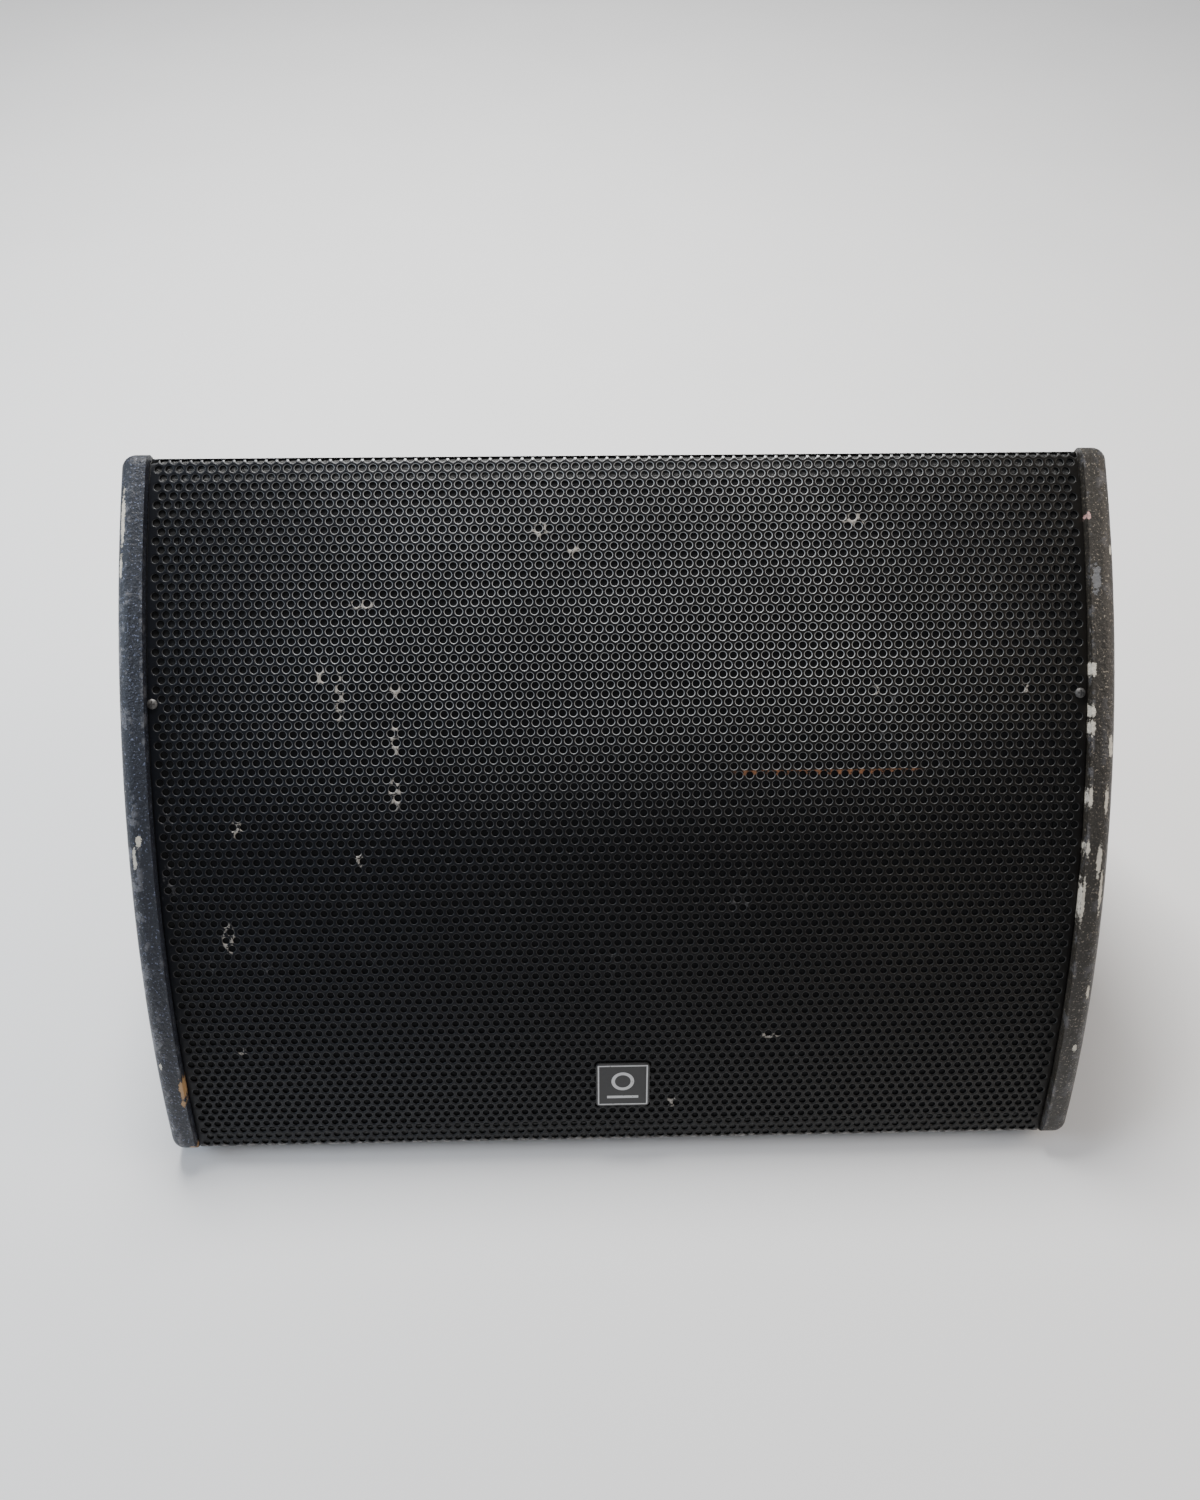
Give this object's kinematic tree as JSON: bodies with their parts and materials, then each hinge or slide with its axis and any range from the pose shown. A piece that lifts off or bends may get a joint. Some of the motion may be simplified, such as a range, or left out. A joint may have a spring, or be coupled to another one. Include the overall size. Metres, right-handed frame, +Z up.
{
  "type": "floor monitor loudspeaker",
  "caption": "Wedge-shaped floor monitor loudspeaker with a bowed perforated steel grille between two end boards, a woofer, a horn and vents.",
  "frame": {"origin": "on the floor under the middle of the bounding box", "axes": "+X across to the right seen from the front, +Y to the rear, +Z up"},
  "size_m": [0.6584, 0.4318, 0.3773],
  "materials": {
    "painted_board": "worn black textured paint over plywood",
    "raw_board": "bare plywood",
    "black_board": "thin matt black paint over plywood",
    "grille_steel": "black powder-coated perforated steel",
    "foam": "open-cell foam",
    "screw_steel": "zinc-plated and blackened steel",
    "plated_steel": "plated steel",
    "badge_plate": "black plate with a light line",
    "rubber": "matt rubber",
    "basket_metal": "painted steel basket",
    "cone_paper": "felted paper",
    "treated_cloth": "coated cloth",
    "black_plastic": "moulded",
    "thin_film": "polymer film",
    "copper": "enamelled copper wire",
    "ferrite": "sintered ferrite",
    "moulded_plastic": "moulded",
    "pan_steel": "black enamel",
    "socket_plastic": "moulded",
    "circuit_board": "laminate",
    "component_plastic": "moulded",
    "resistor": "cement",
    "cable": "insulated two-core"
  },
  "bodies": {
    "cabinet": {"badge": "badge_plate", "baffle": "black_board", "bottom_board": "painted_board", "bottom_feet": "rubber", "crossover_board": "circuit_board", "crossover_capacitors": "component_plastic", "crossover_coils": "copper", "crossover_resistors": "resistor", "crossover_screws": "screw_steel", "crossover_standoffs": "component_plastic", "crossover_terminals": "component_plastic", "damping_lining": "foam", "driver_clamp_ring": "black_plastic", "driver_magnet": "ferrite", "driver_pole_plate": "plated_steel", "driver_rear_cap": "moulded_plastic", "driver_suspension": "thin_film", "driver_terminals": "black_plastic", "driver_top_plate": "plated_steel", "gaskets": "rubber", "glue_blocks": "raw_board", "grille": "grille_steel", "grille_foam": "foam", "grille_screws": "screw_steel", "handle_bar": "pan_steel", "handle_grip": "rubber", "handle_pan": "pan_steel", "horn": "moulded_plastic", "horn_cable": "cable", "input_cable": "cable", "input_dish": "pan_steel", "jack_socket": "socket_plastic", "left_end_board": "painted_board", "left_grille_batten": "black_board", "phase_plug": "moulded_plastic", "port_tubes": "moulded_plastic", "rear_board": "painted_board", "rear_feet": "rubber", "right_end_board": "painted_board", "right_grille_batten": "black_board", "speaker_sockets": "socket_plastic", "tee_nuts": "plated_steel", "wood_screws": "screw_steel", "woofer_basket": "basket_metal", "woofer_bolts": "screw_steel", "woofer_cable": "cable", "woofer_magnet": "ferrite", "woofer_spider": "treated_cloth", "woofer_surround": "treated_cloth", "woofer_terminals": "black_plastic", "woofer_top_plate": "plated_steel", "woofer_trim_ring": "black_plastic", "woofer_yoke": "plated_steel"},
    "cone": {"woofer_cone": "cone_paper", "woofer_dust_cap": "cone_paper", "voice_coil_former": "thin_film", "voice_coil_winding": "copper"},
    "diaphragm": {"driver_diaphragm": "thin_film", "driver_voice_coil": "copper"}
  },
  "joints": [
    {"name": "cone_travel", "type": "slide", "parent": "cabinet", "child": "cone", "axis": [0, -0.7431, 0.6691], "range_m": [-0.008, 0.008], "stiffness_N_per_m": 4400, "deforming": ["woofer_surround", "woofer_spider"]},
    {"name": "diaphragm_travel", "type": "slide", "parent": "cabinet", "child": "diaphragm", "axis": [0, -0.7431, 0.6691], "range_m": [-0.0003, 0.0003], "stiffness_N_per_m": 28000, "deforming": ["driver_suspension"]}
  ]
}
